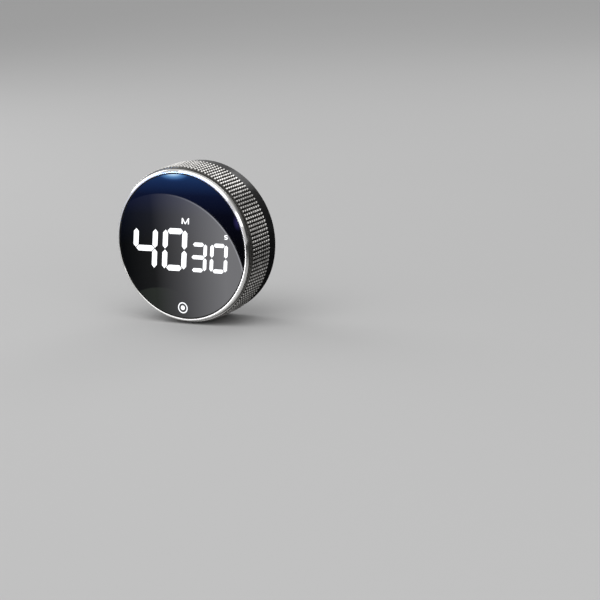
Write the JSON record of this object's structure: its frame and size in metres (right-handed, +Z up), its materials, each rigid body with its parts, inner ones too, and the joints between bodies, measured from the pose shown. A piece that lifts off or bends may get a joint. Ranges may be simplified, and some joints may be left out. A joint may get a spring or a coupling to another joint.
{
  "type": "kitchen timer",
  "caption": "Round digital kitchen timer: black glass display with lit digits inside a knurled metal dial that turns on a black magnetic base.",
  "frame": {"origin": "centre of the back face, on the plane that rests on a steel panel", "axes": "+Y out of the back towards the panel, the display faces -Y, +Z is up and +X is to the right of the display"},
  "size_m": [0.078, 0.0268, 0.078],
  "materials": {
    "dial_metal": "satin, knurled",
    "gear_plastic": "satin",
    "steel": "satin",
    "lens_glass": "polished, smoked",
    "tape": "matt",
    "frame_plastic": "matt",
    "film": "matt",
    "reflector_plastic": "glossy",
    "lit_resin": "lit",
    "dark_resin": "glossy",
    "lamp_resin": "glossy",
    "board_green": "glossy",
    "chip_black": "matt",
    "spring_gold": "polished",
    "contact_nickel": "polished",
    "base_plastic": "satin",
    "pad_rubber": "matt",
    "magnet_nickel": "polished",
    "cell_jacket": "glossy",
    "door_plastic": "fine grain"
  },
  "bodies": {
    "housing": {"front_lens": "lens_glass", "lens_tape": "tape", "display_frame": "frame_plastic", "diffuser_film": "film", "display_reflector": "reflector_plastic", "lit_segments": "lit_resin", "dark_segments": "dark_resin", "led_chips": "lamp_resin", "main_board": "board_green", "control_chip": "chip_black", "touch_spring": "spring_gold", "encoder_case": "chip_black", "buzzer": "chip_black", "switch_case": "steel", "rear_housing": "base_plastic", "back_pad": "pad_rubber", "magnets": "magnet_nickel", "battery_left": "cell_jacket", "battery_middle": "cell_jacket", "battery_right": "cell_jacket", "battery_contacts": "contact_nickel", "battery_springs": "contact_nickel", "frame_screws": "steel"},
    "dial": {"knurled_ring": "dial_metal", "gear_carrier": "gear_plastic"},
    "encoder_rotor": {"encoder_pinion": "gear_plastic", "encoder_shaft": "steel"},
    "volume_slider": {"volume_knob": "door_plastic", "switch_lever": "gear_plastic"},
    "door": {"battery_door": "door_plastic"}
  },
  "joints": [
    {"name": "dial_turn", "type": "hinge", "parent": "housing", "child": "dial", "pos_m": [0, -0.0155, 0], "axis": [0, 1, 0], "continuous": true},
    {"name": "encoder_spin", "type": "hinge", "parent": "housing", "child": "encoder_rotor", "pos_m": [0.028, -0.0162, 0], "axis": [0, 1, 0], "continuous": true},
    {"name": "volume_slide", "type": "slide", "parent": "housing", "child": "volume_slider", "axis": [1, 0, 0], "range_m": [-0.002, 0.002]},
    {"name": "door_swing", "type": "hinge", "parent": "housing", "child": "door", "pos_m": [0, -0.0001, -0.0253], "axis": [-1, 0, 0], "range_deg": [0, 80]}
  ],
  "couplings": [
    {"joint": "encoder_spin", "follows": "dial_turn", "ratio": 6}
  ]
}
